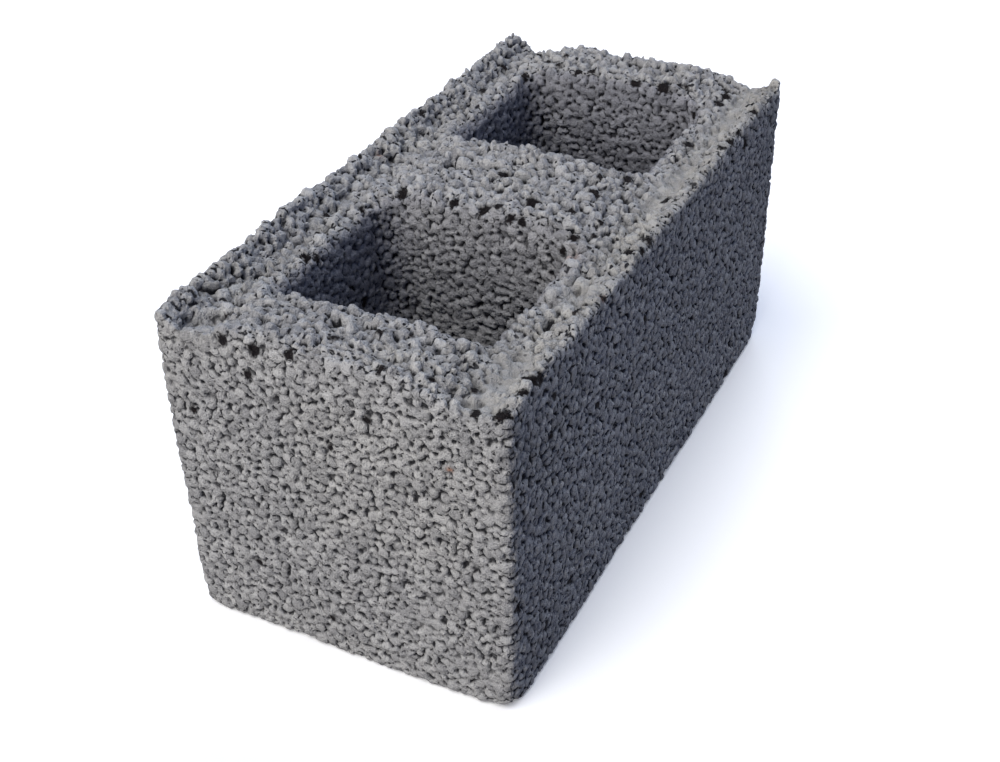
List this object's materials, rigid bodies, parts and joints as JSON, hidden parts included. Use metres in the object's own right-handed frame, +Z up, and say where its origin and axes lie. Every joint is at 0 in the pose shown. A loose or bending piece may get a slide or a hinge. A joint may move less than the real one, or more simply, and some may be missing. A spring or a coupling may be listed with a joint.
{
  "type": "hollow concrete block",
  "caption": "Hollow building block of lightweight concrete, with open upright cells, crowned webs and a low lip along each long top edge.",
  "frame": {"origin": "centre of the underside, on the surface the block stands on", "axes": "+X along the length, +Y across the thickness, +Z up, from the smooth bed to the rough open side"},
  "size_m": [0.39, 0.19, 0.1925],
  "materials": {
    "concrete": "matt, coarse rounded grain in grey cement paste"
  },
  "bodies": {
    "root": {"concrete_block": "concrete"}
  },
  "joints": []
}
